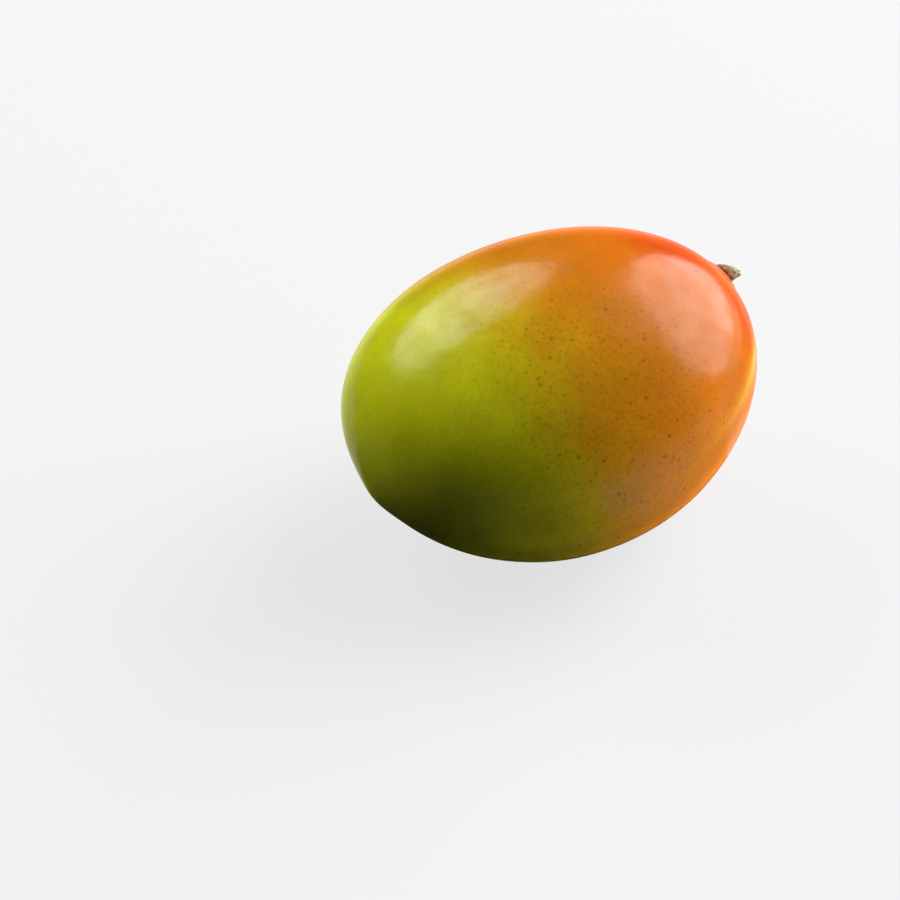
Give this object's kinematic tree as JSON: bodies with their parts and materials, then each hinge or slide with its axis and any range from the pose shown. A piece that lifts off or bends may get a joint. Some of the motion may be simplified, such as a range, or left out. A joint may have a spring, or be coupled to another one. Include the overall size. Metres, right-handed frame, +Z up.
{
  "type": "mango",
  "caption": "Whole ripe mango lying on its side: plump oval fruit, green at the apex and blushed orange-red at the shoulder, with a short dried stalk stump.",
  "frame": {"origin": "on the surface the fruit lies on, under the middle of its bounding box", "axes": "+X along the fruit from the apex towards the stem end, +Z up"},
  "size_m": [0.1214, 0.0928, 0.0818],
  "materials": {
    "skin": "smooth waxy skin with a satin gloss, green at the apex through olive and orange-brown to a red-orange shoulder, with fine dark pores",
    "stalk": "dry matt brown bark with a pale fibrous broken end"
  },
  "bodies": {
    "root": {"fruit": "skin", "stem": "stalk"}
  },
  "joints": []
}
